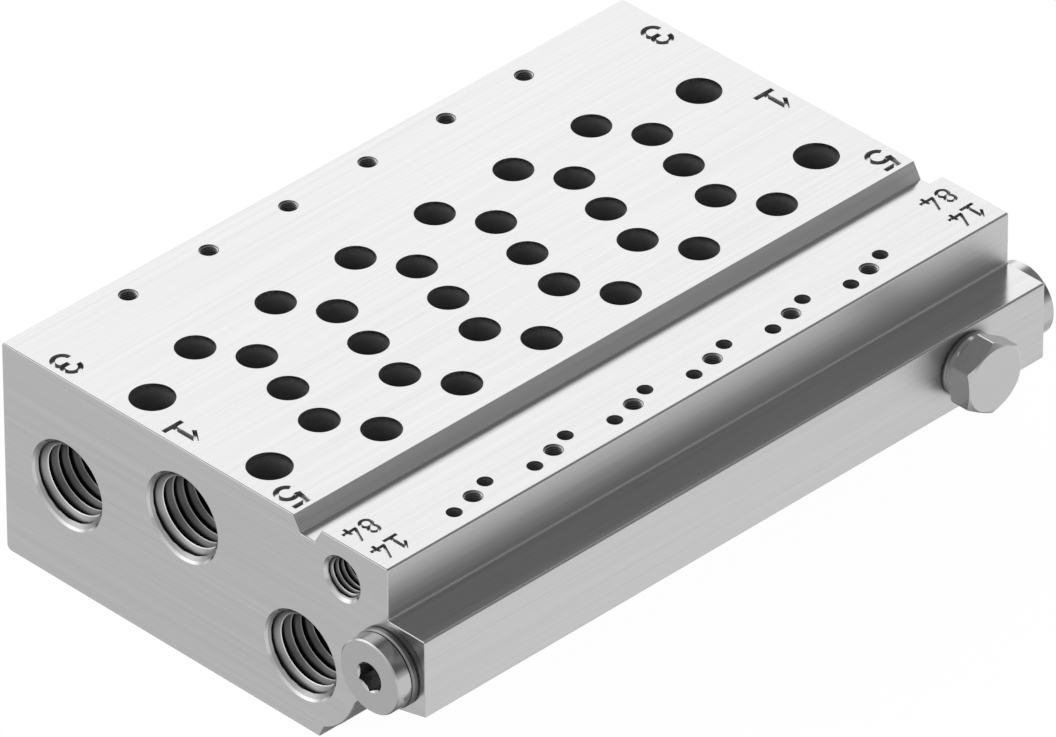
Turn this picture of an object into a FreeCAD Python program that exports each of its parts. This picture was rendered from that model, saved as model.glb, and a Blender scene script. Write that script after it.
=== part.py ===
"""Valve manifold rail for six side-by-side directional valves.

One aluminium extrusion, bored lengthwise for supply, exhausts and pilots, drilled
from the deck for every valve station, and closed by three screwed plugs.

Frame, in millimetres: X across the rail towards the pilot bar, Y along the rail,
Z up. The origin is the centre of the four mounting holes on the base plane.
"""
import FreeCAD, Part
import math
import os
import Sketcher

Vector = FreeCAD.Vector
Rotation = FreeCAD.Rotation

# Driving dimensions: alias, value in millimetres (angles in degrees), meaning
SIZES = [
    ("valve_count", 6, "valve stations"),
    ("valve_pitch", 19.0, "distance between stations"),
    ("mount_beyond_valve", 18.1, "last station to the mounting hole"),
    ("front_margin", 7.0, "mounting hole to the front end"),
    ("rear_margin", 11.0, "mounting hole to the rear end"),
    ("rail_height", 43.0, "base to deck"),
    ("deck_left", 44.1, "centre line to the left side"),
    ("deck_right", 27.15, "centre line to the groove"),
    ("groove_slope", 1.75, "sideways run of each groove flank"),
    ("groove_floor", 3.3, "width of the groove floor"),
    ("groove_depth", 3.0, "deck to groove floor"),
    ("strip_width", 15.85, "pilot strip beside the groove"),
    ("ledge_drop", 10.4, "strip top to the ledge"),
    ("ledge_width", 8.8, "strip wall to the bar side"),
    ("bar_depth", 15.5, "ledge to the lower corner of the bar"),
    ("flank_wall", 5.07, "metal around the right exhaust port"),
    ("flank_low_angle", 65.9, "where the round flank meets the foot"),
    ("flank_high_angle", 6.8, "where the round flank meets the underside"),
    ("foot_setback", 1.1, "lean of the foot below the flank"),
    ("fine_round", 0.4, "rounding of the long edges"),
    ("corner_round", 0.3, "rounding of the outer lower corners"),
    ("base_round", 1.1, "rounding of the lower left corner"),
    ("underside_fillet", 5.5, "fillet between flank and underside"),
    ("end_round", 0.25, "rounding around the end faces"),
    ("row_step", 10.5, "centre row to outlet row"),
    ("outer_row", 19.8, "centre row to exhaust row"),
    ("row_stagger", 2.8, "rows leave the station line by this"),
    ("flow_bore", 3.65, "radius of the flow holes"),
    ("deck_screw_x", 39.25, "centre line to the left screw thread"),
    ("strip_screw_x", 44.6, "centre line to the strip screw thread"),
    ("screw_bore", 1.78, "radius of the screw threads"),
    ("screw_depth", 12.0, "depth of the left screw threads"),
    ("strip_screw_depth", 9.0, "depth of the strip screw threads"),
    ("pilot_bore", 1.45, "radius of the pilot holes"),
    ("pilot_a_inset", 4.1, "bar channel to the front pilot hole"),
    ("pilot_a_y", 5.5, "front pilot hole before the station line"),
    ("pilot_b_offset", 4.2, "open pilot channel to the rear pilot hole"),
    ("pilot_b_y", 4.4, "rear pilot hole behind the station line"),
    ("mount_half_width", 14.27, "centre line to the mounting holes"),
    ("mount_bore", 4.1, "radius of the mounting holes"),
    ("exhaust_x", 28.5, "centre line to the exhaust channels"),
    ("left_exhaust_z", 21.0, "height of the left exhaust channel"),
    ("right_exhaust_z", 14.6, "height of the right exhaust channel"),
    ("supply_z", 28.65, "height of the supply channel"),
    ("exhaust_bore", 7.3, "radius of the exhaust channels"),
    ("supply_bore", 6.2, "radius of the supply channel"),
    ("port_thread", 8.33, "major radius of the large end threads"),
    ("port_depth", 14.0, "depth of the large end threads"),
    ("port_mouth", 8.75, "radius of the large countersinks"),
    ("pilot_channel_x", 38.8, "centre line to the open pilot channel"),
    ("pilot_channel_z", 35.6, "height of the open pilot channel"),
    ("pilot_channel_bore", 3.4, "radius of the open pilot channel"),
    ("pilot_thread", 4.0, "major radius of the pilot end threads"),
    ("pilot_thread_depth", 10.0, "depth of the pilot end threads"),
    ("pilot_mouth", 4.5, "radius of the pilot countersinks"),
    ("bar_channel_drop", 9.3, "ledge to the plugged channel"),
    ("bar_channel_bore", 4.4, "radius of the plugged channel"),
    ("plug_thread", 4.86, "major radius of the plugged threads"),
    ("plug_thread_depth", 10.0, "depth of the plugged threads"),
    ("side_plug_y", 9.7, "last station to the side plug"),
    ("side_plug_drop", 7.1, "ledge to the side plug"),
    ("outlet_thread", 6.58, "major radius of the outlets in the base"),
    ("outlet_depth", 12.0, "depth of the outlets in the base"),
    ("outlet_mouth", 6.9, "radius of the outlet countersinks"),
    ("thread_clearance", 0.08, "radial play of a plug in its thread"),
    ("collar_radius", 7.05, "collar of the socket plugs"),
    ("collar_thickness", 3.25, "collar of the socket plugs"),
    ("collar_chamfer", 0.25, "edge of the collar"),
    ("plug_reach", 7.5, "threaded length of the socket plugs"),
    ("relief_length", 1.0, "thread relief under the head"),
    ("relief_radius", 4.2, "thread relief under the head"),
    ("shank_chamfer", 0.8, "lead of the plug thread"),
    ("socket_flats", 5.0, "hexagon socket across flats"),
    ("socket_depth", 3.8, "hexagon socket"),
    ("socket_lead", 0.35, "cone that leads into the socket"),
    ("ring_radius", 7.35, "sealing ring of the socket plugs"),
    ("ring_bore", 5.0, "inner radius of the sealing rings"),
    ("ring_thickness", 1.25, "sealing ring of the socket plugs"),
    ("ring_round", 0.3, "edge of the sealing rings"),
    ("side_ring_radius", 6.1, "sealing ring of the side plug"),
    ("side_ring_thickness", 0.9, "sealing ring of the side plug"),
    ("side_collar_radius", 6.15, "collar of the side plug"),
    ("side_collar_thickness", 1.45, "collar of the side plug"),
    ("side_plug_reach", 5.0, "threaded length of the side plug"),
    ("head_flats", 12.7, "hexagon head across flats"),
    ("head_height", 4.7, "hexagon head"),
    ("head_face", 6.15, "radius of the flat on the head"),
    ("head_chamfer", 0.6, "cone at the outer end of the head"),
    ("head_corner", 0.08, "rounding of the hexagon corners"),
    ("head_back", 6.3, "radius where the head meets its collar"),
    ("head_back_chamfer", 0.3, "cone at the inner end of the head"),
    ("digit_height", 6.6, "large port numbers"),
    ("small_digit_height", 4.6, "pilot port numbers"),
    ("digit_depth", 0.7, "engraving"),
    ("small_digit_depth", 0.55, "engraving of the pilot port numbers"),
    ("front_digit_inset", 5.7, "front end to the first edge of a number"),
    ("rear_digit_inset", 1.55, "rear end to the first edge of a number"),
    ("front_pair_inset", 8.4, "front end to the first edge of a pair"),
    ("rear_pair_inset", 2.3, "rear end to the first edge of a pair"),
    ("digit_off_port", 6.5, "exhaust channel to the foot of its number"),
    ("digit_off_supply", 6.1, "supply channel to the foot of its number"),
    ("digit_off_groove", 7.5, "groove to the foot of its number"),
    ("pair_low_x", 2.25, "strip edge to the foot of the inner pair"),
    ("pair_high_x", 9.05, "strip edge to the foot of the outer pair"),
]

doc = FreeCAD.newDocument("valve_manifold_rail")
sheet = doc.addObject("Spreadsheet::Sheet", "Sizes")
for row, (alias, number, meaning) in enumerate(SIZES, start=1):
    sheet.set("A%d" % row, meaning)
    sheet.set("B%d" % row, str(number))
    sheet.setAlias("B%d" % row, alias)
doc.recompute()


class Size:
    """A size with its number and the expression that a property is bound to."""

    def __init__(self, number, text):
        self.number = float(number)
        self.text = text

    def _with(self, other, sign, number):
        text = other.text if isinstance(other, Size) else repr(float(other))
        return Size(number, "(%s %s %s)" % (self.text, sign, text))

    def __add__(self, other):
        return self._with(other, "+", self.number + float(other))

    def __sub__(self, other):
        return self._with(other, "-", self.number - float(other))

    def __mul__(self, other):
        return self._with(other, "*", self.number * float(other))

    def __truediv__(self, other):
        return self._with(other, "/", self.number / float(other))

    def __neg__(self):
        return self * -1

    def __float__(self):
        return self.number


def cosine(angle):
    return Size(math.cos(math.radians(float(angle))), "cos(%s * 1 deg)" % angle.text)


def sine(angle):
    return Size(math.sin(math.radians(float(angle))), "sin(%s * 1 deg)" % angle.text)


def size(alias):
    return Size(sheet.get(alias), "Sizes." + alias)


ZERO = Size(0, "0")

# Places that several pieces share
COUNT = int(sheet.get("valve_count"))
half_run = (size("valve_count") - 1) / 2 * size("valve_pitch")
mount_y = half_run + size("mount_beyond_valve")
front_end = -(mount_y + size("front_margin"))
rear_end = mount_y + size("rear_margin")
rail_length = rear_end - front_end
deck_z = size("rail_height")
left_side = -size("deck_left")
groove_floor_left = size("deck_right") + size("groove_slope")
groove_floor_right = groove_floor_left + size("groove_floor")
strip_left = groove_floor_right + size("groove_slope")
strip_right = strip_left + size("strip_width")
ledge_z = deck_z - size("ledge_drop")
bar_side = strip_right + size("ledge_width")
bar_low_z = ledge_z - size("bar_depth")
bar_channel_x = strip_right
bar_channel_z = ledge_z - size("bar_channel_drop")
pilot_a_x = bar_channel_x - size("pilot_a_inset")
pilot_b_x = size("pilot_channel_x") + size("pilot_b_offset")
side_plug_y = half_run + size("side_plug_y")
side_plug_z = ledge_z - size("side_plug_drop")
flank_radius = size("port_thread") + size("flank_wall")
flank_low_x = size("exhaust_x") + flank_radius * cosine(size("flank_low_angle"))
flank_low_z = size("right_exhaust_z") - flank_radius * sine(size("flank_low_angle"))
flank_high_x = size("exhaust_x") + flank_radius * cosine(size("flank_high_angle"))
foot_x = flank_low_x - size("foot_setback")

# Directions of a bore or a plug: the way its own +Z points
UP = Rotation()
TO_REAR = Rotation(Vector(1, 0, 0), -90)
TO_FRONT = Rotation(Vector(1, 0, 0), 90)
TO_SIDE = Rotation(Vector(0, 1, 0), 90)
TO_CENTRE = Rotation(Vector(0, 1, 0), -90)


def bind(obj, name, value):
    """Give a property its number and tie it to the sheet."""
    if not name.startswith((".", "Placement")):
        setattr(obj, name, float(value))
    obj.setExpression(name, value.text)


def put(obj, place, direction=UP):
    """Place an object: x, y and z follow the sheet, the direction is fixed."""
    start = Vector(*[float(value) for value in place])
    obj.Placement = FreeCAD.Placement(start, direction)
    for letter, value in zip("xyz", place):
        bind(obj, "Placement.Base." + letter, value)
    return obj


def cylinder(name, radius, height, place, direction=UP):
    obj = doc.addObject("Part::Cylinder", name)
    bind(obj, "Radius", radius)
    bind(obj, "Height", height)
    return put(obj, place, direction)


def cone(name, start_radius, end_radius, height, place, direction=UP):
    obj = doc.addObject("Part::Cone", name)
    bind(obj, "Radius1", start_radius)
    bind(obj, "Radius2", end_radius)
    bind(obj, "Height", height)
    return put(obj, place, direction)


def hexagon(name, flats, height, place):
    obj = doc.addObject("Part::Prism", name)
    obj.Polygon = 6
    bind(obj, "Circumradius", flats / math.sqrt(3))
    bind(obj, "Height", height)
    return put(obj, place)


def fuse(name, pieces):
    obj = doc.addObject("Part::MultiFuse", name)
    obj.Shapes = pieces
    return obj


def gather(name, pieces):
    """Tools that don't touch each other, taken away in one cut."""
    obj = doc.addObject("Part::Compound", name)
    obj.Links = pieces
    return obj


def boolean(kind, name, base, tool):
    obj = doc.addObject("Part::" + kind, name)
    obj.Base = base
    obj.Tool = tool
    return obj


def fix_point(sketch, line, end, place):
    """Hold one end of a sketch line at a place that follows the sheet."""
    for kind, value in zip(("DistanceX", "DistanceY"), place):
        index = sketch.addConstraint(Sketcher.Constraint(kind, -1, 1, line, end, float(value)))
        sketch.setExpression("Constraints[%d]" % index, value.text)


def flat(place):
    return Vector(float(place[0]), float(place[1]), 0)


def outline(sketch, points):
    """A closed outline of straight lines through the points."""
    count = len(points)
    for index, point in enumerate(points):
        following = points[(index + 1) % count]
        sketch.addGeometry(Part.LineSegment(flat(point), flat(following)))
    for index in range(count):
        sketch.addConstraint(Sketcher.Constraint("Coincident", index, 2, (index + 1) % count, 1))
    for index, point in enumerate(points):
        fix_point(sketch, index, 1, point)


def turned(name, points):
    """A solid turned about its own Z from (radius, height) points."""
    sketch = doc.addObject("Sketcher::SketchObject", name + "_profile")
    sketch.Placement = FreeCAD.Placement(Vector(), Rotation(Vector(1, 0, 0), 90))
    outline(sketch, points)
    solid = doc.addObject("Part::Revolution", name)
    solid.Source = sketch
    solid.Axis = Vector(0, 0, 1)
    solid.Base = Vector()
    solid.Angle = 360
    solid.Solid = True
    return solid


def stations():
    """Number and Y of each valve station, front to rear."""
    for number in range(COUNT):
        yield number + 1, size("valve_pitch") * number - half_run


# The extrusion: its outline lies in the XZ plane, the length runs along +Y
block_body = doc.addObject("PartDesign::Body", "extrusion")
end_plane = [item for item in block_body.Origin.OriginFeatures if item.Role == "XZ_Plane"][0]
section = block_body.newObject("Sketcher::SketchObject", "rail_section")
section.AttachmentSupport = [(end_plane, "")]
section.MapMode = "FlatFace"

before_flank = [(left_side, ZERO), (foot_x, ZERO), (flank_low_x, flank_low_z)]
after_flank = [
    (bar_side, bar_low_z),
    (bar_side, ledge_z),
    (strip_right, ledge_z),
    (strip_right, deck_z),
    (strip_left, deck_z),
    (groove_floor_right, deck_z - size("groove_depth")),
    (groove_floor_left, deck_z - size("groove_depth")),
    (size("deck_right"), deck_z),
    (left_side, deck_z),
]
flank_centre = (size("exhaust_x"), size("right_exhaust_z"))
flank_end = (flank_high_x, size("right_exhaust_z") - flank_radius * sine(size("flank_high_angle")))
flank_arc = Part.ArcOfCircle(
    Part.Circle(flat(flank_centre), Vector(0, 0, 1), float(flank_radius)),
    -math.radians(float(size("flank_low_angle"))),
    -math.radians(float(size("flank_high_angle"))),
)
for start, end in zip(before_flank, before_flank[1:]):
    section.addGeometry(Part.LineSegment(flat(start), flat(end)))
section.addGeometry(flank_arc)
for start, end in zip([flank_end] + after_flank, after_flank + [before_flank[0]]):
    section.addGeometry(Part.LineSegment(flat(start), flat(end)))
edge_count = section.GeometryCount
ARC = len(before_flank) - 1
for index in range(edge_count):
    section.addConstraint(Sketcher.Constraint("Coincident", index, 2, (index + 1) % edge_count, 1))
for index, point in enumerate(before_flank):
    fix_point(section, index, 1, point)
fix_point(section, ARC, 3, flank_centre)
held = section.addConstraint(Sketcher.Constraint("DistanceX", -1, 1, ARC, 2, float(flank_high_x)))
section.setExpression("Constraints[%d]" % held, flank_high_x.text)
for index, point in enumerate(after_flank, start=ARC + 2):
    fix_point(section, index, 1, point)
doc.recompute()

pad = block_body.newObject("PartDesign::Pad", "rail_length")
pad.Profile = section
bind(pad, "Length", rail_length)
pad.Reversed = True
doc.recompute()


def long_edges(shape, places):
    """Names of the edges along Y that pass through the given (x, z) places."""
    names = []
    for index, edge in enumerate(shape.Edges, start=1):
        first, last = edge.Vertexes[0].Point, edge.Vertexes[-1].Point
        if abs(first.y - last.y) < 1:
            continue
        for x, z in places:
            if math.hypot(first.x - float(x), first.z - float(z)) < 0.01:
                names.append("Edge%d" % index)
    return names


def rounded(name, base, radius, places):
    fillet = block_body.newObject("PartDesign::Fillet", name)
    fillet.Base = (base, long_edges(base.Shape, places))
    bind(fillet, "Radius", radius)
    doc.recompute()
    return fillet


step = rounded("underside_fillet", pad, size("underside_fillet"), [flank_end])
step = rounded("lower_corners", step, size("corner_round"), [before_flank[1], after_flank[0]])
step = rounded("base_corner", step, size("base_round"), [before_flank[0]])
step = rounded(
    "fine_edges",
    step,
    size("fine_round"),
    [after_flank[1], after_flank[2], after_flank[3], after_flank[8]],
)
end_faces = []
for index, face in enumerate(step.Shape.Faces, start=1):
    if face.BoundBox.YLength < 0.01:
        end_faces.append("Face%d" % index)
rounded_ends = block_body.newObject("PartDesign::Fillet", "rounded_ends")
rounded_ends.Base = (step, end_faces)
bind(rounded_ends, "Radius", size("end_round"))
doc.recompute()
put(block_body, (ZERO, front_end, ZERO))


# Bores from the deck. Every tool starts a little outside the metal.
OVER = 1.0


def deck_bore(name, x, y, radius, floor_z):
    """A flat-ended bore from the deck down to a height."""
    return cylinder(name, radius, deck_z - floor_z + OVER, (x, y, floor_z))


def tapped_bore(name, x, y, radius, depth):
    """A blind bore from the deck with the cone that its drill leaves."""
    bottom = deck_z - depth
    wall = cylinder(name + "_wall", radius, depth + OVER, (x, y, bottom))
    tip_height = radius * 0.6
    tip = cone(name + "_tip", ZERO, radius, tip_height, (x, y, bottom - tip_height))
    return fuse(name, [wall, tip])


def outlet(name, x, y):
    """A threaded outlet in the base with its countersink."""
    thread, mouth = size("outlet_thread"), size("outlet_mouth")
    place = (x, y, ZERO - OVER)
    wall = cylinder(name + "_wall", thread, size("outlet_depth") + OVER, place)
    countersink = cone(name + "_mouth", mouth + OVER, thread, mouth - thread + OVER, place)
    return fuse(name, [wall, countersink])


flow, pilot, screw = size("flow_bore"), size("pilot_bore"), size("screw_bore")
outlet_top = size("outlet_depth") - OVER
drillings = []
outlets = []
for station, y in stations():
    near, far = y - size("row_stagger"), y + size("row_stagger")
    bores = [
        ("exhaust_left", -size("outer_row"), near, flow, size("left_exhaust_z")),
        ("work_left", -size("row_step"), far, flow, outlet_top),
        ("supply", ZERO, y, flow, size("supply_z")),
        ("work_right", size("row_step"), near, flow, outlet_top),
        ("exhaust_right", size("outer_row"), far, flow, size("right_exhaust_z")),
        ("pilot_a", pilot_a_x, y - size("pilot_a_y"), pilot, bar_channel_z),
        ("pilot_b", pilot_b_x, y + size("pilot_b_y"), pilot, size("pilot_channel_z")),
    ]
    screws = [
        ("deck_screw", -size("deck_screw_x"), size("screw_depth")),
        ("strip_screw", size("strip_screw_x"), size("strip_screw_depth")),
    ]
    for name, x, bore_y, radius, floor_z in bores:
        drillings.append(deck_bore("%s_%d" % (name, station), x, bore_y, radius, floor_z))
    for name, x, depth in screws:
        drillings.append(tapped_bore("%s_%d" % (name, station), x, y, screw, depth))
    outlets.append(outlet("outlet_left_%d" % station, -size("row_step"), far))
    outlets.append(outlet("outlet_right_%d" % station, size("row_step"), near))
for x_name, x in (("left", -size("mount_half_width")), ("right", size("mount_half_width"))):
    for y_name, y in (("front", -mount_y), ("rear", mount_y)):
        drillings.append(deck_bore("mount_%s_%s" % (x_name, y_name), x, y, size("mount_bore"), ZERO - OVER))


# Channels from end to end, and what closes or opens them
def channel(name, x, z, radius):
    start = front_end - OVER
    return cylinder(name, radius, rail_length + OVER * 2, (x, start, z), TO_REAR)


ENDS = (("front", front_end - OVER, TO_REAR), ("rear", rear_end + OVER, TO_FRONT))


def end_port(name, x, z, thread, depth, mouth):
    """The tapped mouth of a channel at each end, with its countersink."""
    tools = []
    for end_name, y, inward in ENDS:
        end = "%s_%s" % (name, end_name)
        wall = cylinder(end + "_thread", thread, depth + OVER, (x, y, z), inward)
        sink = mouth - thread + OVER
        countersink = cone(end + "_mouth", mouth + OVER, thread, sink, (x, y, z), inward)
        tools.append(fuse(end, [wall, countersink]))
    return tools


large_port = (size("port_thread"), size("port_depth"), size("port_mouth"))
pilot_port = (size("pilot_thread"), size("pilot_thread_depth"), size("pilot_mouth"))
channels = [
    channel("exhaust_channel_left", -size("exhaust_x"), size("left_exhaust_z"), size("exhaust_bore")),
    channel("supply_channel", ZERO, size("supply_z"), size("supply_bore")),
    channel("exhaust_channel_right", size("exhaust_x"), size("right_exhaust_z"), size("exhaust_bore")),
    channel("pilot_channel", size("pilot_channel_x"), size("pilot_channel_z"), size("pilot_channel_bore")),
    channel("bar_channel", bar_channel_x, bar_channel_z, size("bar_channel_bore")),
]
ports = end_port("port_left", -size("exhaust_x"), size("left_exhaust_z"), *large_port)
ports += end_port("port_supply", ZERO, size("supply_z"), *large_port)
ports += end_port("port_right", size("exhaust_x"), size("right_exhaust_z"), *large_port)
ports += end_port("port_pilot", size("pilot_channel_x"), size("pilot_channel_z"), *pilot_port)
plug_bore, plug_bore_depth = size("plug_thread"), size("plug_thread_depth") + OVER
for end_name, y, inward in ENDS:
    place = (bar_channel_x, y, bar_channel_z)
    ports.append(cylinder("bar_thread_" + end_name, plug_bore, plug_bore_depth, place, inward))
side_mouth = (bar_side + OVER, side_plug_y, side_plug_z)
side_bore_depth = bar_side - bar_channel_x + OVER
ports.append(cylinder("side_thread", plug_bore, side_bore_depth, side_mouth, TO_CENTRE))


# Port numbers, drawn on a grid whose height is one number: a runs along the
# reading direction, b runs up. Every stroke is one unit wide.
GRID_HEIGHT = 6.6
BOWL_X = 2.2


def stroke(points, depth):
    """A straight-sided stroke, given by its corners."""
    wire = Part.makePolygon([Vector(a, b, 0) for a, b in points + points[:1]])
    return Part.Face(wire).extrude(Vector(0, 0, depth))


def bowl(centre_b, outer, inner, start, sweep, depth):
    """A round stroke about (BOWL_X, centre_b), from an angle through a sweep."""
    centre = Vector(BOWL_X, centre_b, 0)
    solid = Part.makeCylinder(outer, depth, centre, Vector(0, 0, 1), sweep)
    solid = solid.cut(Part.makeCylinder(inner, depth, centre))
    solid.rotate(centre, Vector(0, 0, 1), start)
    return solid


def numeral_one(depth):
    flag_and_stem = [
        (0, 0), (4.45, 0), (4.45, 1), (2.75, 1), (2.75, 6.6), (1.9, 6.6),
        (0.05, 4.1), (0.65, 3.5), (1.7, 5.0), (1.7, 1), (0, 1),
    ]
    return [stroke(flag_and_stem, depth)]


def numeral_three(depth):
    middle = [(1.75, 2.9), (3.2, 2.85), (4.02, 3.4), (3.13, 3.92), (1.75, 3.9)]
    return [
        bowl(4.5, 2.1, 1.1, -32, 212, depth),
        stroke(middle, depth),
        bowl(2.2, 2.2, 1.2, 180, 213, depth),
    ]


def numeral_four(depth):
    outline_of_four = [
        (0, 1.15), (2.3, 1.15), (2.3, 0), (3.25, 0), (3.25, 1.15), (4.7, 1.15), (4.7, 2.15),
        (3.25, 2.15), (3.25, 3.0), (2.3, 3.0), (2.3, 2.15), (1.15, 2.15), (3.35, 6.6),
        (2.35, 6.6), (0, 1.85),
    ]
    return [stroke(outline_of_four, depth)]


def numeral_five(depth):
    top = [(0.65, 5.6), (4.2, 5.6), (4.2, 6.6), (0.65, 6.6)]
    back = [(0.65, 6.6), (1.6, 6.6), (1.3, 4.0), (1.45, 3.2), (0.85, 3.1), (0.05, 3.4)]
    return [stroke(top, depth), stroke(back, depth), bowl(2.3, 2.3, 1.25, -155, 275, depth)]


def numeral_eight(depth):
    return [bowl(2.05, 2.05, 1.05, 0, 360, depth), bowl(4.8, 1.8, 0.85, 0, 360, depth)]


NUMERALS = {
    "one": numeral_one,
    "three": numeral_three,
    "four": numeral_four,
    "five": numeral_five,
    "eight": numeral_eight,
}
ADVANCE = 5.0


def engraving(name, numerals, foot_x_place, first_edge_y, height, depth):
    """A cutter for a number that is read along -Y, with its foot at an X."""
    scale = float(height) / GRID_HEIGHT
    cut_depth = (float(depth) + OVER) / scale
    strokes = []
    for position, numeral in enumerate(numerals):
        for solid in NUMERALS[numeral](cut_depth):
            solid.translate(Vector(position * ADVANCE, 0, 0))
            strokes.append(solid)
    shape = strokes[0]
    if len(strokes) > 1:
        shape = strokes[0].fuse(strokes[1:])
    shape.scale(scale, Vector())
    cutter = doc.addObject("Part::Feature", name)
    cutter.Shape = shape
    return put(cutter, (foot_x_place, first_edge_y, deck_z - depth), Rotation(Vector(0, 0, 1), -90))


numbers = [
    ("number_left", ["three"], -size("exhaust_x") - size("digit_off_port")),
    ("number_supply", ["one"], -size("digit_off_supply")),
    ("number_right", ["five"], size("deck_right") - size("digit_off_groove")),
    ("number_pilot", ["eight", "four"], strip_left + size("pair_low_x")),
    ("number_bar", ["one", "four"], strip_left + size("pair_high_x")),
]
engravings = []
for name, numerals, foot in numbers:
    if len(numerals) == 1:
        height, depth = size("digit_height"), size("digit_depth")
        edges = (size("front_digit_inset"), size("rear_digit_inset"))
    else:
        height, depth = size("small_digit_height"), size("small_digit_depth")
        edges = (size("front_pair_inset"), size("rear_pair_inset"))
    engravings.append(engraving(name + "_front", numerals, foot, front_end + edges[0], height, depth))
    engravings.append(engraving(name + "_rear", numerals, foot, rear_end - edges[1], height, depth))

drilled = boolean("Cut", "drilled_block", block_body, gather("deck_tools", drillings))
tapped = boolean("Cut", "block_with_outlets", drilled, gather("outlet_tools", outlets))
bored = boolean("Cut", "bored_block", tapped, gather("channel_tools", channels))
ported = boolean("Cut", "ported_block", bored, gather("port_tools", ports))
manifold_block = boolean("Cut", "numbered_block", ported, gather("number_tools", engravings))
manifold_block.Label = "manifold_block"
doc.recompute()


# Sealing rings and plugs, each turned about its own Z: height 0 is the seat
def sealing_ring(label, radius, thickness, place, direction):
    bore, edge = size("ring_bore"), size("ring_round")
    points = [
        (bore, ZERO),
        (radius - edge, ZERO),
        (radius, edge),
        (radius, thickness - edge),
        (radius - edge, thickness),
        (bore, thickness),
    ]
    return put(turned(label, points), place, direction)


def headed_shank(name, reach, seat, thickness, radius, edge):
    """Shank, thread relief and round collar of a plug, on its seat."""
    thread = size("plug_thread") - size("thread_clearance")
    lead = size("shank_chamfer")
    relief, relief_length = size("relief_radius"), size("relief_length")
    top = seat + thickness
    points = [
        (ZERO, -reach),
        (thread - lead, -reach),
        (thread, lead - reach),
        (thread, -relief_length),
        (relief, -relief_length),
        (relief, seat),
        (radius - edge, seat),
        (radius, seat + edge),
        (radius, top - edge),
        (radius - edge, top),
        (ZERO, top),
    ]
    return turned(name, points)


def socket_plug(label, place, direction):
    """A round-headed plug with a hexagon socket."""
    seat = size("ring_thickness")
    top = seat + size("collar_thickness")
    blank = headed_shank(
        label + "_blank",
        size("plug_reach"),
        seat,
        size("collar_thickness"),
        size("collar_radius"),
        size("collar_chamfer"),
    )
    depth = size("socket_depth")
    socket = hexagon(label + "_hexagon", size("socket_flats"), depth + OVER, (ZERO, ZERO, top - depth))
    socket.Placement.Rotation = Rotation(Vector(0, 0, 1), 30)
    lead, lead_depth = size("socket_flats") / math.sqrt(3), size("socket_lead")
    mouth = cone(
        label + "_mouth",
        lead - lead_depth,
        lead + OVER,
        lead_depth + OVER,
        (ZERO, ZERO, top - lead_depth),
    )
    plug = boolean("Cut", label, blank, fuse(label + "_socket", [socket, mouth]))
    return put(plug, place, direction)


def hexagon_plug(label, place, direction):
    """A plug with a hexagon head over its collar."""
    seat = size("side_ring_thickness")
    thickness = size("side_collar_thickness")
    blank = headed_shank(
        label + "_blank",
        size("side_plug_reach"),
        seat,
        thickness,
        size("side_collar_radius"),
        size("collar_chamfer"),
    )
    low, high = seat + thickness, seat + thickness + size("head_height")
    sides = hexagon(label + "_sides", size("head_flats"), size("head_height"), (ZERO, ZERO, low))
    corner = size("head_flats") / math.sqrt(3) - size("head_corner")
    envelope = turned(
        label + "_envelope",
        [
            (ZERO, low),
            (size("head_back"), low),
            (corner, low + size("head_back_chamfer")),
            (corner, high - size("head_chamfer")),
            (size("head_face"), high),
            (ZERO, high),
        ],
    )
    head = boolean("Common", label + "_head", sides, envelope)
    return put(fuse(label, [blank, head]), place, direction)


front_seat = (bar_channel_x, front_end, bar_channel_z)
rear_seat = (bar_channel_x, rear_end, bar_channel_z)
side_seat = (bar_side, side_plug_y, side_plug_z)
end_ring = (size("ring_radius"), size("ring_thickness"))
side_ring = (size("side_ring_radius"), size("side_ring_thickness"))
pieces = [
    manifold_block,
    socket_plug("front_plug", front_seat, TO_FRONT),
    sealing_ring("front_plug_ring", *end_ring, front_seat, TO_FRONT),
    socket_plug("rear_plug", rear_seat, TO_REAR),
    sealing_ring("rear_plug_ring", *end_ring, rear_seat, TO_REAR),
    hexagon_plug("side_plug", side_seat, TO_SIDE),
    sealing_ring("side_plug_ring", *side_ring, side_seat, TO_SIDE),
]
doc.recompute()

# Nothing is written unless every object and every piece is sound
troubled = []
for obj in doc.Objects:
    if "Invalid" in obj.State or "Error" in obj.State:
        troubled.append(obj.Name)
if troubled:
    raise RuntimeError("objects in error: " + ", ".join(troubled))
for piece in pieces:
    if piece.Shape.isNull() or not piece.Shape.isValid():
        raise RuntimeError("unsound shape: " + piece.Label)
    if len(piece.Shape.Solids) != 1:
        raise RuntimeError("not one solid: " + piece.Label)

os.makedirs("parts", exist_ok=True)
for piece in pieces:
    piece.Shape.exportStep(os.path.join("parts", piece.Label + ".step"))
    print(piece.Label, round(piece.Shape.Volume, 1))
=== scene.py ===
# %% [markdown]
# A manifold rail carries a row of valves side by side. Air comes in through the
# threaded ports at its ends, runs along the rail in drilled channels and rises to the
# valves through the holes in the deck. This lesson takes the solid model of the rail,
# gives it machined, brushed and plated metal, cuts the screw threads that a solid
# model leaves out, and sets it on a pale studio floor.

import math

import bpy
from mathutils import Euler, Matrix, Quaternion, Vector


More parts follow.
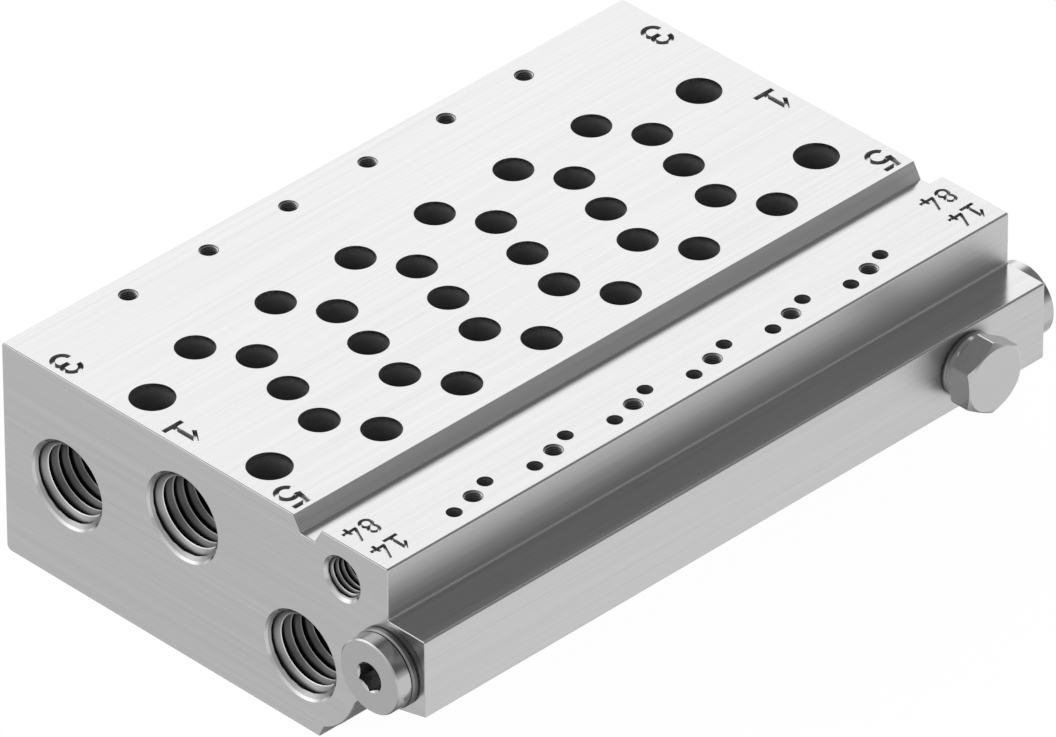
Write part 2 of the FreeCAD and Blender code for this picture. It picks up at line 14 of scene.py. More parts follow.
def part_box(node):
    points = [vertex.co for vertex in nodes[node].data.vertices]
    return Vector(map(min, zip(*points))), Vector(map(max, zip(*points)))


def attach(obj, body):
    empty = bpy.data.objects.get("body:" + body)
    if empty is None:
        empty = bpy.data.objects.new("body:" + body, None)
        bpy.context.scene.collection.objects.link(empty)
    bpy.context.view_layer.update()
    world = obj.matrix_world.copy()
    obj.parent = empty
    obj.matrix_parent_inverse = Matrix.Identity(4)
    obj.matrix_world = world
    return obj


MM = 0.001
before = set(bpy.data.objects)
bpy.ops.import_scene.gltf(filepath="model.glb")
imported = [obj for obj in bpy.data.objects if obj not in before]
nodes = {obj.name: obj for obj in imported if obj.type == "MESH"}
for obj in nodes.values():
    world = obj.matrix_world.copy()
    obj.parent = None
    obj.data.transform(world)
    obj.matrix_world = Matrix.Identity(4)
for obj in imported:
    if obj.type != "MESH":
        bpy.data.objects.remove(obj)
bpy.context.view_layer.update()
print("solid model:", sorted(nodes))

# %% [markdown]
# The photograph was taken with a very long lens from far away, so parallel edges stay
# almost parallel. The camera stands 45 degrees round from the end face and 35 degrees
# up. A Track To constraint could aim it, but it could not hold the small roll that the
# photograph has. A camera looks down its own -Z with +Y up, so one quaternion points
# it, and a second one turns it a fifth of a degree about its own line of sight.

# %% Camera
CAMERA_PLACE = Vector((1611.6, -1579.7, 1599.6)) * MM
CAMERA_AZIMUTH = 45.4003
CAMERA_ELEVATION = 34.9299
CAMERA_ROLL = -0.2134
LENS = 546.88
SENSOR_WIDTH = 36
NEAREST, FARTHEST = 0.1, 50


def looking(azimuth, elevation):
    """Direction of sight: azimuth 0 looks along +Y, and elevation looks down."""
    turn, tilt = math.radians(azimuth), math.radians(elevation)
    across = math.cos(tilt)
    return Vector((-math.sin(turn) * across, math.cos(turn) * across, -math.sin(tilt)))


lens = bpy.data.cameras.new("studio_camera")
lens.sensor_width = SENSOR_WIDTH
lens.lens = LENS
lens.clip_start = NEAREST
lens.clip_end = FARTHEST
camera = bpy.data.objects.new("studio_camera", lens)
bpy.context.scene.collection.objects.link(camera)
bpy.context.scene.camera = camera
sight = looking(CAMERA_AZIMUTH, CAMERA_ELEVATION).to_track_quat("-Z", "Y")
roll = Quaternion((0, 0, 1), math.radians(CAMERA_ROLL))
camera.rotation_mode = "QUATERNION"
camera.rotation_quaternion = sight @ roll
camera.location = CAMERA_PLACE
print("camera at", [round(value, 3) for value in camera.location])

# %% [markdown]
# Shader trees and geometry trees can be built by hand in the node editor, but a script
# can be read from top to bottom and changed in one place. It stays readable when each
# node is one line. The helper below adds a node, fills its inputs with numbers or with
# the outputs of other nodes, and returns it. Every tree in this lesson uses it.


# %% Helpers that add and wire nodes
def add_node(tree, kind, inputs=(), **settings):
    """Add a node; inputs maps a socket's name or number to a value or an output."""
    node = tree.nodes.new(kind)
    for name, value in settings.items():
        setattr(node, name, value)
    for key, value in dict(inputs).items():
        if isinstance(value, bpy.types.NodeSocket):
            tree.links.new(value, node.inputs[key])
        else:
            node.inputs[key].default_value = value
    return node


def math_node(tree, operation, *values):
    """The output of a Math node on one to three values."""
    kind = "ShaderNodeMath"
    return add_node(tree, kind, enumerate(values), operation=operation).outputs[0]


def axes_of(tree, vector):
    """The outputs X, Y and Z of a vector."""
    return add_node(tree, "ShaderNodeSeparateXYZ", {0: vector}).outputs


# %% Helpers that turn one range into another
def ramp(tree, value, start, end, low, high):
    """Low up to start, high from end on, and even in between."""
    return add_node(
        tree, "ShaderNodeMapRange", {0: value, 1: start, 2: end, 3: low, 4: high}, clamp=True
    ).outputs[0]


def fade(tree, value, start, end, low, high):
    """The same, but it leaves low and reaches high gently."""
    return add_node(
        tree,
        "ShaderNodeMapRange",
        {0: value, 1: start, 2: end, 3: low, 4: high},
        interpolation_type="SMOOTHSTEP",
    ).outputs[0]


def blend(tree, share, first, second):
    """First where the share is nought, second where it is one."""
    return add_node(tree, "ShaderNodeMix", {0: share, 2: first, 3: second}).outputs[0]


def new_finish(name):
    """A material with an empty tree."""
    finish = bpy.data.materials.new(name)
    finish.use_nodes = True
    finish.node_tree.nodes.clear()
    return finish


# %% [markdown]
# The background is pure white and has no horizon. A white floor under lamps would
# throw that light back onto the rail, so the floor only looks white: what the camera
# or a reflection sees is mostly plain white, and the rest is a real pale surface that
# takes a soft shadow. No light arrives straight below the rail, so in a reflection the
# white fades there, and a mirrored ray that runs steeply down meets a darker floor than
# a flat one.

# %% Which rays see the floor, and how white it is
FLOOR_GLOW = 1.03
DARK_UNDER_RAIL = 0.35
SOFT_EDGE = 6 * MM
STEEP_GLOW = 0.22
FLAT_ENOUGH = 0.36


def seen_directly(tree):
    """One where a camera, mirror or glass ray arrives, and nought elsewhere."""
    ray = add_node(tree, "ShaderNodeLightPath").outputs
    seen = math_node(tree, "MAXIMUM", ray["Is Camera Ray"], ray["Is Glossy Ray"])
    return math_node(tree, "MAXIMUM", seen, ray["Is Transmission Ray"])


def outside_rail(tree):
    """How far a place on the floor lies outside the rail's outline, in metres."""
    low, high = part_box("manifold_block")
    along = axes_of(tree, add_node(tree, "ShaderNodeTexCoord").outputs["Object"])
    gaps = []
    for axis in (0, 1):
        from_middle = math_node(tree, "SUBTRACT", along[axis], (low[axis] + high[axis]) / 2)
        distance = math_node(tree, "ABSOLUTE", from_middle)
        gaps.append(math_node(tree, "SUBTRACT", distance, (high[axis] - low[axis]) / 2))
    return math_node(tree, "MAXIMUM", *gaps)


def floor_glow(tree):
    """White for the camera; a mirrored ray also meets the dark patch below the rail."""
    patch = fade(tree, outside_rail(tree), -SOFT_EDGE, 0.0, DARK_UNDER_RAIL, 1.0)
    flatness = add_node(tree, "ShaderNodeLayerWeight", {"Blend": 0.5}).outputs["Facing"]
    steep = ramp(tree, flatness, 0.0, FLAT_ENOUGH, STEEP_GLOW, 1.0)
    mirrored = math_node(tree, "MULTIPLY", patch, steep)
    is_camera = add_node(tree, "ShaderNodeLightPath").outputs["Is Camera Ray"]
    seen = math_node(tree, "MAXIMUM", mirrored, is_camera)
    return math_node(tree, "MULTIPLY", seen, FLOOR_GLOW)


# %% Pale floor finish
FLOOR_GREY = (0.8, 0.8, 0.8, 1)
WHITE = (1, 1, 1, 1)
SHADOW_SHARE = 0.05

floor_finish = new_finish("pale_floor")
tree = floor_finish.node_tree
matte = add_node(tree, "ShaderNodeBsdfDiffuse", {"Color": FLOOR_GREY})
white = add_node(tree, "ShaderNodeEmission", {"Color": WHITE, "Strength": floor_glow(tree)})
share = math_node(tree, "MULTIPLY", seen_directly(tree), 1 - SHADOW_SHARE)
floor_mix = add_node(
    tree, "ShaderNodeMixShader", {0: share, 1: matte.outputs[0], 2: white.outputs[0]}
)
add_node(tree, "ShaderNodeOutputMaterial", {"Surface": floor_mix.outputs[0]})
print("floor keeps", SHADOW_SHARE, "of a real surface for its shadow")

# %% Floor
FLOOR_SIZE = 14.0
FLOOR_DROP = 0.2 * MM

half = FLOOR_SIZE / 2
floor_mesh = bpy.data.meshes.new("floor")
floor_corners = [(-half, -half, 0), (half, -half, 0), (half, half, 0), (-half, half, 0)]
floor_mesh.from_pydata(floor_corners, [], [(0, 1, 2, 3)])
floor = bpy.data.objects.new("floor", floor_mesh)
bpy.context.scene.collection.objects.link(floor)
floor.location.z = -FLOOR_DROP
floor.data.materials.append(floor_finish)
print("floor is", FLOOR_SIZE, "m wide")

# %% [markdown]
# Bare metal shows its surroundings and little else, so the light has to be a room and
# not a few lamps. The room could be a photographed panorama, but one drawn by direction
# needs no file and each wall has its own number. Big white walls stand on the left,
# where the deck and the countersinks mirror them. The right is dim, which draws the
# ledge and the groove. The ceiling is dark, which puts a fine dark line on every rounded
# edge, and the horizon glows a little on all sides. Each step below holds how far to the
# left it starts and how bright the wall is from there on.

# %% Brightness of the room by direction
ROOM_LEFT = Vector((-0.95, -0.2, 0.0))
ROOM_STEPS = [(-0.72, 0.16), (-0.42, 0.62), (0.06, 1.0), (0.42, 1.56), (0.75, 1.85)]
HORIZON = 0.68
HORIZON_TOP = 0.35
CEILING = 0.26
CEILING_START, CEILING_END = 0.60, 0.76


def room_level(tree):
    """How bright the room is in the direction of a ray."""
    direction = add_node(tree, "ShaderNodeTexCoord").outputs["Generated"]
    leftward = add_node(
        tree, "ShaderNodeVectorMath", {0: direction, 1: ROOM_LEFT}, operation="DOT_PRODUCT"
    ).outputs["Value"]
    height = axes_of(tree, direction)["Z"]
    walls = ROOM_STEPS[0][1]
    for (start, low), (end, high) in zip(ROOM_STEPS, ROOM_STEPS[1:]):
        walls = math_node(tree, "ADD", walls, ramp(tree, leftward, start, end, 0.0, high - low))
    above_horizon = fade(tree, height, 0.0, HORIZON_TOP, 0.0, 1.0)
    in_ceiling = fade(tree, height, CEILING_START, CEILING_END, 0.0, 1.0)
    sides = blend(tree, above_horizon, HORIZON, walls)
    return blend(tree, in_ceiling, sides, CEILING)


# %% A studio room for the metal to mirror
room = bpy.data.worlds.new("studio_room")
bpy.context.scene.world = room
room.use_nodes = True
tree = room.node_tree
tree.nodes.clear()
light = add_node(tree, "ShaderNodeBackground", {"Color": WHITE, "Strength": room_level(tree)})
backdrop = add_node(tree, "ShaderNodeBackground", {"Color": WHITE, "Strength": 1.0})
is_camera = add_node(tree, "ShaderNodeLightPath").outputs["Is Camera Ray"]
room_mix = add_node(
    tree, "ShaderNodeMixShader", {0: is_camera, 1: light.outputs[0], 2: backdrop.outputs[0]}
)
add_node(tree, "ShaderNodeOutputWorld", {"Surface": room_mix.outputs[0]})
print("room light from", ROOM_STEPS[0][1], "to", ROOM_STEPS[-1][1], "under a ceiling of", CEILING)

# %% [markdown]
# The rail is an aluminium extrusion, brushed along its length, with its ends sawn and
# brushed across. Brush marks could be a picture laid on each face, but a pattern worked
# out from the place on the rail has no seams and stays sharp from close by. The marks
# are long and thin, so they come from a noise texture whose coordinates are squeezed
# along the stroke. The face's own direction picks the stroke: faces that look along Y
# are the sawn ends.

# %% Strokes of the brush
NOISE_LOW, NOISE_HIGH = 0.3, 0.7


def squeezed(tree, coordinates, factors):
    return add_node(
        tree, "ShaderNodeVectorMath", {0: coordinates, 1: factors}, operation="MULTIPLY"
    ).outputs[0]


def marks(tree, coordinates, across, along, is_end):
    """Noise drawn out into strokes: across and along are sizes of a mark in metres."""
    thin, long = 1 / across, 1 / along
    body = squeezed(tree, coordinates, (thin, long, thin))
    end = squeezed(tree, coordinates, (long, thin, thin))
    stroke = add_node(
        tree, "ShaderNodeMix", {0: is_end, 4: body, 5: end}, data_type="VECTOR"
    ).outputs[1]
    return add_node(
        tree,
        "ShaderNodeTexNoise",
        {"Vector": stroke, "Scale": 1.0, "Detail": 1.5, "Roughness": 0.5},
    ).outputs["Fac"]


def spread(tree, value, low, high):
    """Stretch a noise value, which stays near one half, over a range."""
    return ramp(tree, value, NOISE_LOW, NOISE_HIGH, low, high)


# %% Which way a face looks
TURNED_AWAY, STRAIGHT_ON = 0.6, 0.98


def looks_along(tree, axis):
    """One on faces that look along X or Y, fading to nought as they turn away."""
    normal = add_node(tree, "ShaderNodeNewGeometry").outputs["Normal"]
    facing = math_node(tree, "ABSOLUTE", axes_of(tree, normal)[axis])
    return fade(tree, facing, TURNED_AWAY, STRAIGHT_ON, 0.0, 1.0)


# %% [markdown]
# The wall of a bore, the root of a thread and an engraved stroke are never brushed and
# keep a rougher skin, and they are painted darker, as painted shade. Each could be given
# its own material by hand, face by face, but the solid model should stay as it is.
# Ambient occlusion measures how far a place is closed in, so it sets both: open faces keep
# their full tone, and a deep place loses some to painted shade.

# %% Painted shade and rougher skin in the recesses
RECESS_REACH = 25 * MM


def open_share(tree):
    """How much of the room a place can see: half in a corner, little in a bore."""
    node = add_node(tree, "ShaderNodeAmbientOcclusion", {"Distance": RECESS_REACH}, samples=16)
    return node.outputs["AO"]


def bare_metal(tree, shade, roughness, **more):
    """Grey metal: shade and roughness are numbers or outputs, more fills other inputs."""
    colour = add_node(tree, "ShaderNodeCombineColor", {0: shade, 1: shade, 2: shade})
    inputs = {"Base Color": colour.outputs[0], "Metallic": 1.0, "Roughness": roughness, **more}
    metal = add_node(tree, "ShaderNodeBsdfPrincipled", inputs)
    add_node(tree, "ShaderNodeOutputMaterial", {"Surface": metal.outputs[0]})


# %% [markdown]
# Deck, sides and sawn ends were each cut by another tool, so the sides are duller. The
# ends are also painted darker, as painted shade, and the sides painted lighter, as painted
# light, for the way light falls on each. Each could have its own material, but then the
# tone would jump at every rounded edge, so one material blends them by the way a face looks.
# The pairs named IN_BORE, IN_HOLLOW and ON_FACE say between which open shares a tone or
# a roughness changes.

# %% Tone with painted light and shade, and roughness of the brushed metal
# The end faces are painted darker and the side faces painted lighter than the deck: painted shade and
# painted light.
BODY_TONE, SIDE_LIGHT_TONE, END_SHADE_TONE = 0.57, 0.65, 0.44
BODY_ROUGHNESS, SIDE_ROUGHNESS, BORE_ROUGHNESS = 0.18, 0.46, 0.75
# Deep in a bore the tone is painted darker to this share, as painted shade.
BORE_SHADE_TONE = 0.56
IN_BORE, IN_HOLLOW, ON_FACE = (0.25, 0.48), (0.34, 0.49), (0.42, 0.50)
ROUGHNESS_SWING = 0.03


def brushed_tone(tree, seen, is_end, is_side, streak):
    """Brightness of the metal, with painted light and shade by the way a face looks, and painted
    shade where it lies closed in.
    """
    tone = math_node(tree, "MULTIPLY_ADD", is_end, END_SHADE_TONE - BODY_TONE, BODY_TONE)
    tone = math_node(tree, "MULTIPLY_ADD", is_side, SIDE_LIGHT_TONE - BODY_TONE, tone)
    tone = math_node(tree, "MULTIPLY", tone, ramp(tree, seen, *IN_BORE, BORE_SHADE_TONE, 1.0))
    return math_node(tree, "MULTIPLY", tone, streak)


def brushed_roughness(tree, seen, is_side, fine):
    """Blurrier on the sides and most of all in the bores."""
    rough = math_node(tree, "MULTIPLY_ADD", is_side, SIDE_ROUGHNESS - BODY_ROUGHNESS, BODY_ROUGHNESS)
    in_hollow = ramp(tree, seen, *IN_HOLLOW, BORE_ROUGHNESS, 0.0)
    rough = math_node(tree, "MAXIMUM", rough, in_hollow)
    return math_node(tree, "ADD", rough, spread(tree, fine, -ROUGHNESS_SWING, ROUGHNESS_SWING))


# %% [markdown]
# The brushed finish puts these together. Two sizes of stroke are added, since a brush
# leaves fine lines on top of broad bands. The same fine strokes drive a very low bump,
# which spreads reflections across them.

# %% Brushed aluminium
BRUSH_CONTRAST = 0.065
FINE_STROKE, BROAD_STROKE = (0.3 * MM, 45 * MM), (1.0 * MM, 70 * MM)
FINE_SHARE = 0.6
STROKE_DEPTH, STROKE_STRENGTH = 0.03 * MM, 0.06


def brushed(name):
    finish = new_finish(name)
    tree = finish.node_tree
    coordinates = add_node(tree, "ShaderNodeTexCoord").outputs["Object"]
    seen = open_share(tree)
    in_open = ramp(tree, seen, *ON_FACE, 0.0, 1.0)
    is_end = math_node(tree, "MULTIPLY", looks_along(tree, "Y"), in_open)
    is_side = math_node(tree, "MULTIPLY", looks_along(tree, "X"), in_open)
    fine = marks(tree, coordinates, *FINE_STROKE, is_end)
    broad = marks(tree, coordinates, *BROAD_STROKE, is_end)
    broad_part = math_node(tree, "MULTIPLY", broad, 1 - FINE_SHARE)
    both = math_node(tree, "MULTIPLY_ADD", fine, FINE_SHARE, broad_part)
    streak = spread(tree, both, 1 - BRUSH_CONTRAST, 1 + BRUSH_CONTRAST)
    shade = brushed_tone(tree, seen, is_end, is_side, streak)
    rough = brushed_roughness(tree, seen, is_side, fine)
    relief = {"Strength": STROKE_STRENGTH, "Distance": STROKE_DEPTH, "Height": fine}
    bump = add_node(tree, "ShaderNodeBump", relief)
    bare_metal(tree, shade, rough, Normal=bump.outputs[0])
    return finish


rail_finish = brushed("brushed_aluminium")
print(rail_finish.name, "has", len(rail_finish.node_tree.nodes), "nodes")

# %% [markdown]
# The threads are cut by a tap and then left alone. One even grey would hide their
# shape, because a bore has little to mirror, so light and shade are painted onto them.
# The geometry tree below therefore writes down how high each point stands on its ridge,
# from nought in the root to one at the crest, and the finish reads that attribute. The
# root is painted dark, as painted shade, the flank is lighter and the crest carries a
# painted highlight. The turns deep in the bore get more painted shade, and the turns
# nearest the mouth get a little painted light.

# %% Cut thread metal, with painted shade and painted highlights
# The root's tone is painted shade and the crest's tone a painted highlight; deep in a port painted
# shade darkens the ridge, and near the mouth painted light is added.
GROOVE_SHADE, FLANK_TONE, CREST_HIGHLIGHT = 0.15, 0.26, 0.65
DEEP_SHADE_SHARE, MOUTH_LIGHT = 0.50, 0.13
DEEP_IN_PORT, NEAR_MOUTH = (0.30, 0.62), (0.50, 0.75)
CREST_START = 0.8
THREAD_ROUGHNESS = 0.34


def cut_metal(name):
    finish = new_finish(name)
    tree = finish.node_tree
    seen = open_share(tree)
    height = add_node(tree, "ShaderNodeAttribute", attribute_name="crest").outputs["Fac"]
    flank = ramp(tree, height, 0.0, CREST_START, GROOVE_SHADE, FLANK_TONE)
    crest = ramp(tree, height, CREST_START, 1.0, 0.0, CREST_HIGHLIGHT)
    ridge = math_node(tree, "ADD", flank, crest)
    in_deep = math_node(tree, "MULTIPLY", ridge, ramp(tree, seen, *DEEP_IN_PORT, DEEP_SHADE_SHARE, 1.0))
    shade = math_node(tree, "ADD", in_deep, ramp(tree, seen, *NEAR_MOUTH, 0.0, MOUTH_LIGHT))
    bare_metal(tree, shade, THREAD_ROUGHNESS)
    return finish


thread_finish = cut_metal("cut_thread_metal")
print(thread_finish.name, "has", len(thread_finish.node_tree.nodes), "nodes")

# %% [markdown]
# The plugs are turned steel with a bright plating. They could share the rail's finish
# in a lighter tone, but plating has no strokes and mirrors the room more sharply, so it
# gets a material of its own, a little uneven in patches about a millimetre wide. The
# faces that look along Y are the turned ends of the socket plugs, which are painted darker
# than their sides, as painted shade, and the inside of a socket is painted darker too.

# %% Bright plating
PLATING_TONE, RING_TONE = 0.51, 0.25
PLATING_ROUGHNESS, RING_ROUGHNESS = 0.16, 0.3
# The ends along Y are painted darker by this share, and the inside of a socket by the next, as
# painted shade.
END_FACE_SHADE = 0.74
SOCKET_SHADE_TONE = 0.50
IN_SOCKET = (0.10, 0.50)
PATCHES_PER_METRE = 900.0
TONE_SWING, PATCH_ROUGHNESS = 0.015, 0.02


def plated(name, tone, roughness):
    finish = new_finish(name)
    tree = finish.node_tree
    coordinates = add_node(tree, "ShaderNodeTexCoord").outputs["Object"]
    patches = {"Vector": coordinates, "Scale": PATCHES_PER_METRE, "Detail": 2.0}
    cloud = add_node(tree, "ShaderNodeTexNoise", patches).outputs["Fac"]
    rough = spread(tree, cloud, roughness - PATCH_ROUGHNESS, roughness + PATCH_ROUGHNESS)
    cloudy = spread(tree, cloud, tone * (1 - TONE_SWING), tone * (1 + TONE_SWING))
    turned = math_node(tree, "MULTIPLY_ADD", looks_along(tree, "Y"), END_FACE_SHADE - 1, 1.0)
    painted_socket_shade = ramp(tree, open_share(tree), *IN_SOCKET, SOCKET_SHADE_TONE, 1.0)
    shade = math_node(tree, "MULTIPLY", math_node(tree, "MULTIPLY", cloudy, turned), painted_socket_shade)
    bare_metal(tree, shade, rough)
    return finish


plug_finish = plated("bright_plating", PLATING_TONE, PLATING_ROUGHNESS)
ring_finish = plated("sealing_ring_metal", RING_TONE, RING_ROUGHNESS)
print(plug_finish.name, "and", ring_finish.name, "differ in tone and roughness only")

# %% [markdown]
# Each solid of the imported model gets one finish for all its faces. Only its material
# changes, and its mesh stays as it was packed.

# %% Dress the solid model
FINISHES = {"manifold_block": rail_finish}
for name in ("front_plug", "rear_plug", "side_plug"):
    FINISHES[name] = plug_finish
    FINISHES[name + "_ring"] = ring_finish
for name, finish in FINISHES.items():
    mesh = nodes[name].data
    mesh.materials.clear()
    mesh.materials.append(finish)
print("dressed", len(FINISHES), "solids")

# %% [markdown]
# The solid model stops at smooth bores. A real port has a screw thread, one ridge wound
# into the bore. It could be made with the Screw modifier, but its crest, root and
# countersink follow a rule, so a geometry tree makes it and one tree serves every size.
# A flat grid is rolled into a tube, and each row of the grid climbs by one pitch in a
# turn. The tree's inputs are the sizes that a drawing of the port would give.

# %% What the thread tree asks for
SIZE_INPUTS = [
    ("Wall Radius", 8.33 * MM),
    ("Root Radius", 8.0 * MM),
    ("Crest Radius", 6.95 * MM),
    ("Root Roundness", 2.0),
    ("Mouth Radius", 8.75 * MM),
    ("Pitch", 2.33 * MM),
    ("First Crest", 1.12 * MM),
    ("Depth", 14.0 * MM),
    ("Turn Direction", -1.0),
]
COUNT_INPUTS = [("Rows Per Turn", 20), ("Segments", 96)]


def ask_for_sizes(tree):
    sockets = tree.interface
    sockets.new_socket("Geometry", in_out="INPUT", socket_type="NodeSocketGeometry")
    for label, value in SIZE_INPUTS:
        size = sockets.new_socket(label, in_out="INPUT", socket_type="NodeSocketFloat")
        size.default_value = value
    for label, value in COUNT_INPUTS:
        count = sockets.new_socket(label, in_out="INPUT", socket_type="NodeSocketInt")
        count.default_value = value
    sockets.new_socket("Finish", in_out="INPUT", socket_type="NodeSocketMaterial")
    sockets.new_socket("Geometry", in_out="OUTPUT", socket_type="NodeSocketGeometry")
    return tree.nodes.new("NodeGroupInput").outputs


# %% [markdown]
# The grid has a row for every step along the thread and a column for every step round
# the bore. A point's row and column are worked out from its index. Two spare turns are
# needed, because the ridge starts one turn above the mouth and, at the seam, the last
# column lags one turn behind the first. Three more rows close the tube behind the ridge.

# %% The flat grid
SPARE_TURNS = 2.0
CLOSING_ROWS = 3.0


def flat_grid(tree, given):
    """The grid, the number of thread rows, and each point's row and share of a turn."""
    cut_depth = math_node(tree, "SUBTRACT", given["Depth"], given["First Crest"])
    full_turns = math_node(tree, "CEIL", math_node(tree, "DIVIDE", cut_depth, given["Pitch"]))
    turns = math_node(tree, "ADD", full_turns, SPARE_TURNS)
    rows = math_node(tree, "MULTIPLY", given["Rows Per Turn"], turns)
    all_rows = math_node(tree, "ADD", rows, CLOSING_ROWS)
    columns = math_node(tree, "ADD", given["Segments"], 1.0)
    sizes = {"Size X": 1.0, "Size Y": 1.0, "Vertices X": all_rows, "Vertices Y": columns}
    grid = add_node(tree, "GeometryNodeMeshGrid", sizes).outputs["Mesh"]
    number = add_node(tree, "GeometryNodeInputIndex").outputs[0]
    row = math_node(tree, "FLOOR", math_node(tree, "DIVIDE", number, columns))
    column = math_node(tree, "SUBTRACT", number, math_node(tree, "MULTIPLY", row, columns))
    share = math_node(tree, "DIVIDE", column, given["Segments"])
    return grid, rows, row, share


# %% [markdown]
# A point's depth is its turn times the pitch, and it is held between the foot of the
# countersink and the end of the bore. Its radius runs between two sharp crests through
# a root that a power curve hollows out, as the photograph shows it, and the countersink
# trims the first turns to a cone.

# %% How deep a point lies, and how high on the ridge
TRIMMED_HEIGHT = 0.8
# Whole turns that keep a turn above nought before its fraction is taken
WHOLE_TURNS = 8.0


def wound_depth(tree, given, row, share):
    """The turn that a row belongs to, and its depth before it is held in the bore."""
    turn = math_node(tree, "SUBTRACT", math_node(tree, "DIVIDE", row, given["Rows Per Turn"]), 1.0)
    climb = math_node(tree, "MULTIPLY", share, given["Turn Direction"])
    winding = math_node(tree, "MULTIPLY", math_node(tree, "ADD", turn, climb), given["Pitch"])
    return turn, math_node(tree, "ADD", winding, given["First Crest"])


def thread_profile(tree, given, turn, depth):
    """The radius of the trimmed thread, and how high a point stands on its ridge."""
    place_in_turn = math_node(tree, "FRACT", math_node(tree, "ADD", turn, WHOLE_TURNS))
    from_root = math_node(tree, "ABSOLUTE", math_node(tree, "MULTIPLY_ADD", place_in_turn, 2.0, -1.0))
    rise = math_node(tree, "POWER", from_root, given["Root Roundness"])
    ridge = blend(tree, rise, given["Root Radius"], given["Crest Radius"])
    cone = math_node(tree, "SUBTRACT", given["Mouth Radius"], depth)
    trimmed = math_node(tree, "GREATER_THAN", cone, ridge)
    radius = math_node(tree, "MAXIMUM", ridge, cone)
    return radius, blend(tree, trimmed, rise, TRIMMED_HEIGHT)


# %% [markdown]
# Past the end of the bore the thread steps out to the wall, and the last rows run back
# along the wall to the mouth, so that the thread is a closed shell with a real
# thickness. Rows that fall on one another are welded.

# %% The rolled and closed tube
WELD = 0.002 * MM


def rolled_tube(tree, given):
    """One closed thread with its mouth at the origin, cut towards +Z."""
    grid, rows, row, share = flat_grid(tree, given)
    turn, free_depth = wound_depth(tree, given, row, share)
    foot = math_node(tree, "SUBTRACT", given["Mouth Radius"], given["Wall Radius"])
    below_foot = math_node(tree, "MAXIMUM", free_depth, foot)
    depth = math_node(tree, "MINIMUM", below_foot, given["Depth"])
    threaded, crest = thread_profile(tree, given, turn, depth)
    at_end = math_node(tree, "GREATER_THAN", free_depth, given["Depth"])
    is_wall = math_node(tree, "GREATER_THAN", row, rows)
    closing = math_node(tree, "MAXIMUM", at_end, is_wall)
    radius = blend(tree, closing, threaded, given["Wall Radius"])
    is_last = math_node(tree, "GREATER_THAN", row, math_node(tree, "ADD", rows, 1.0))
    wall_depth = blend(tree, is_last, given["Depth"], foot)
    height = blend(tree, is_wall, depth, wall_depth)
    angle = math_node(tree, "MULTIPLY", share, math.tau)
    across = math_node(tree, "MULTIPLY", radius, math_node(tree, "COSINE", angle))
    along = math_node(tree, "MULTIPLY", radius, math_node(tree, "SINE", angle))
    point = add_node(tree, "ShaderNodeCombineXYZ", {0: across, 1: along, 2: height}).outputs[0]
    place = {"Geometry": grid, "Position": point}
    rolled = add_node(tree, "GeometryNodeSetPosition", place).outputs[0]
    note = {"Geometry": rolled, "Name": "crest", "Value": crest}
    noted = add_node(tree, "GeometryNodeStoreNamedAttribute", note).outputs[0]
    weld = {"Geometry": noted, "Distance": WELD}
    return add_node(tree, "GeometryNodeMergeByDistance", weld).outputs[0]


# %% [markdown]
# The tree puts one thread on every point that it is given, turned as that point says,
# and ends in real, smooth and dressed faces, because an export drops instances.


# %% The thread tree
def thread_tree(name):
    tree = bpy.data.node_groups.new(name, "GeometryNodeTree")
    given = ask_for_sizes(tree)
    tube = rolled_tube(tree, given)
    turned = add_node(
        tree, "GeometryNodeInputNamedAttribute", {"Name": "turned"}, data_type="FLOAT_VECTOR"
    ).outputs[0]
    mouths = {"Points": given["Geometry"], "Instance": tube, "Rotation": turned}
    copies = add_node(tree, "GeometryNodeInstanceOnPoints", mouths).outputs[0]
    real = add_node(tree, "GeometryNodeRealizeInstances", {"Geometry": copies}).outputs[0]
    smooth = add_node(tree, "GeometryNodeSetShadeSmooth", {"Geometry": real}).outputs[0]
    dress = {"Geometry": smooth, "Material": given["Finish"]}
    dressed = add_node(tree, "GeometryNodeSetMaterial", dress).outputs[0]
    add_node(tree, "NodeGroupOutput", {0: dressed})
    return tree


THREADS = thread_tree("screw_threads")
print("thread tree has", len(THREADS.nodes), "nodes")

# %% [markdown]
# A list of hole mouths is now all that is needed for each size of thread. The result of
# the modifier is turned into a plain mesh, so that it can ride on the rail, and edges
# sharper than 40 degrees stay crisp. Realized instances leave an empty material slot in
# front of the finish, and it is taken out.

# %% Turn a list of mouths into threads
SHARP_EDGE = math.radians(40)


def drop_empty_slots(mesh):
    for number in reversed(range(len(mesh.materials))):
        if mesh.materials[number] is None:
            mesh.materials.pop(index=number)


def cut_threads(name, mouths, sizes, finish):
    """A plain mesh of threads: mouths holds (place in mm, Euler), sizes the inputs."""
    points = bpy.data.meshes.new(name + "_mouths")
    points.from_pydata([Vector(place) * MM for place, _ in mouths], [], [])
    turned = points.attributes.new("turned", "FLOAT_VECTOR", "POINT")
    for item, (_, euler) in zip(turned.data, mouths):
        item.vector = tuple(euler)
    piece = bpy.data.objects.new(name, points)
    bpy.context.scene.collection.objects.link(piece)
    modifier = piece.modifiers.new("threads", "NODES")
    modifier.node_group = THREADS
    wanted = dict(sizes, Finish=finish)
    for item in THREADS.interface.items_tree:
        if item.in_out == "INPUT" and item.name in wanted:
            modifier[item.identifier] = wanted[item.name]
    bpy.context.view_layer.update()
    seen = piece.evaluated_get(bpy.context.evaluated_depsgraph_get())
    made = bpy.data.meshes.new_from_object(seen)
    piece.modifiers.remove(modifier)
    piece.data = made
    made.name = name
    drop_empty_slots(made)
    made.set_sharp_from_angle(angle=SHARP_EDGE)
    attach(piece, "root")
    print(name, "has", len(made.polygons), "faces")


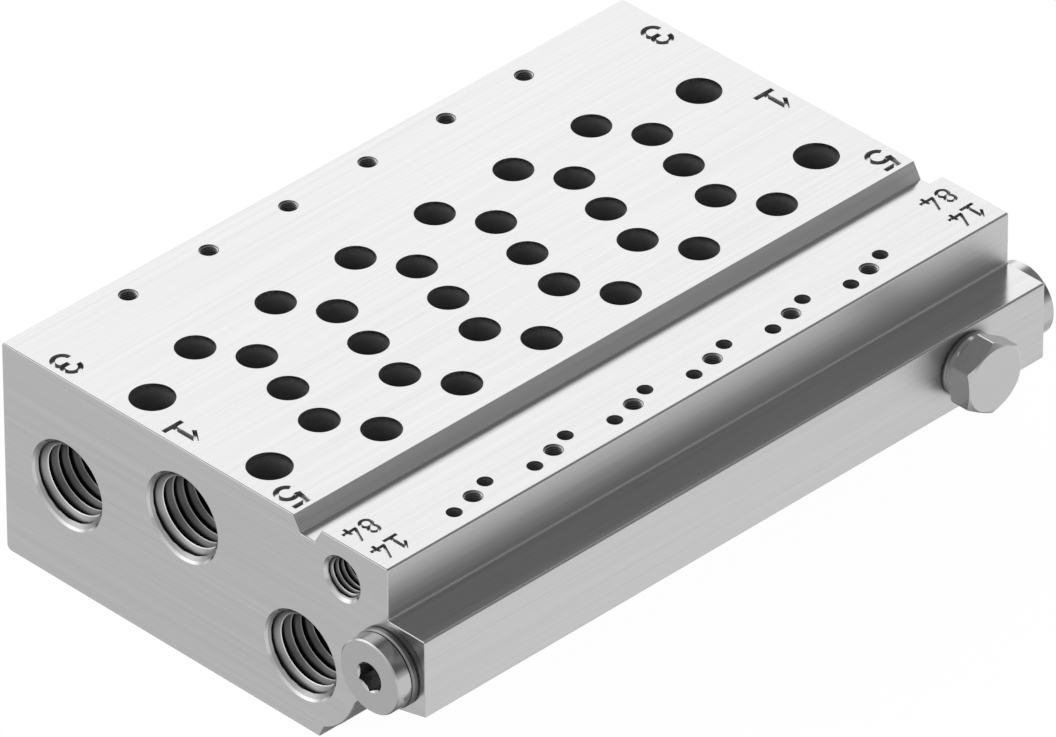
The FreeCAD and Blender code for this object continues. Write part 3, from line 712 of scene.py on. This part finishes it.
# %% [markdown]
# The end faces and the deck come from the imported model, so the threads follow when the
# rail grows. Across the rail the ports stand where the solid model has its bores, and
# along it there are six stations, one valve apart.

# %% Where the mouths are
INTO_FRONT = Euler((math.radians(-90), 0, 0))
INTO_REAR = Euler((math.radians(-90), 0, math.radians(180)))
INTO_DECK = Euler((math.radians(180), 0, 0))
LARGE_PORTS = [(-28.5, 21.0), (0.0, 28.65), (28.5, 14.6)]
PILOT_PORT = (38.8, 35.6)
STATIONS = 6
STATION_PITCH = 19.0
SCREW_COLUMNS = [-39.25, 44.6]

block_low, block_high = [Vector(corner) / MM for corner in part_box("manifold_block")]
FRONT_Y, REAR_Y, DECK_Z = block_low.y, block_high.y, block_high.z
STATION_YS = [STATION_PITCH * (number - (STATIONS - 1) / 2) for number in range(STATIONS)]
print("stations at y", STATION_YS)

# %% [markdown]
# The large ports carry supply and exhaust. Their ridges are 2.33 mm apart and wind to
# the left in the photograph, wider and the other way round than on a real pipe thread,
# and the model follows the photograph.

# %% Large port threads
large = {"Rows Per Turn": 32, "Segments": 112}
large_front = [((x, FRONT_Y, z), INTO_FRONT) for x, z in LARGE_PORTS]
large_rear = [((x, REAR_Y, z), INTO_REAR) for x, z in LARGE_PORTS]
cut_threads("front_port_threads", large_front, large, thread_finish)
cut_threads("rear_port_threads", large_rear, large, thread_finish)

# %% [markdown]
# The small port in each end feeds the pilot channel, whose air switches the valves. Its
# thread follows the same rule, so the tree is used again with smaller sizes.

# %% Pilot port threads
x, z = PILOT_PORT
pilot = {
    "Wall Radius": 4.0 * MM,
    "Root Radius": 3.86 * MM,
    "Crest Radius": 3.45 * MM,
    "Mouth Radius": 4.5 * MM,
    "Pitch": 1.2 * MM,
    "First Crest": 0.75 * MM,
    "Depth": 10.0 * MM,
    "Rows Per Turn": 16,
    "Segments": 64,
}
pilot_mouths = [((x, FRONT_Y, z), INTO_FRONT), ((x, REAR_Y, z), INTO_REAR)]
cut_threads("pilot_port_threads", pilot_mouths, pilot, thread_finish)

# %% [markdown]
# Two screws hold each valve, one in the deck and one in the strip. Their threads are
# finer still, and there are twelve of them, so each has fewer faces. All twelve are one
# piece, because none of them ever moves by itself.

# %% Screw threads in the deck and in the strip
deck_screw = {
    "Wall Radius": 1.78 * MM,
    "Root Radius": 1.77 * MM,
    "Crest Radius": 1.53 * MM,
    "Mouth Radius": 1.78 * MM,
    "Pitch": 0.5 * MM,
    "First Crest": 0.2 * MM,
    "Depth": 8.5 * MM,
    "Rows Per Turn": 10,
    "Segments": 32,
}
screw_mouths = [((x, y, DECK_Z), INTO_DECK) for x in SCREW_COLUMNS for y in STATION_YS]
cut_threads("screw_threads", screw_mouths, deck_screw, thread_finish)

# %% [markdown]
# The Standard view shows a colour as it is written, with no film curve over it.

bpy.context.scene.view_settings.view_transform = "Standard"
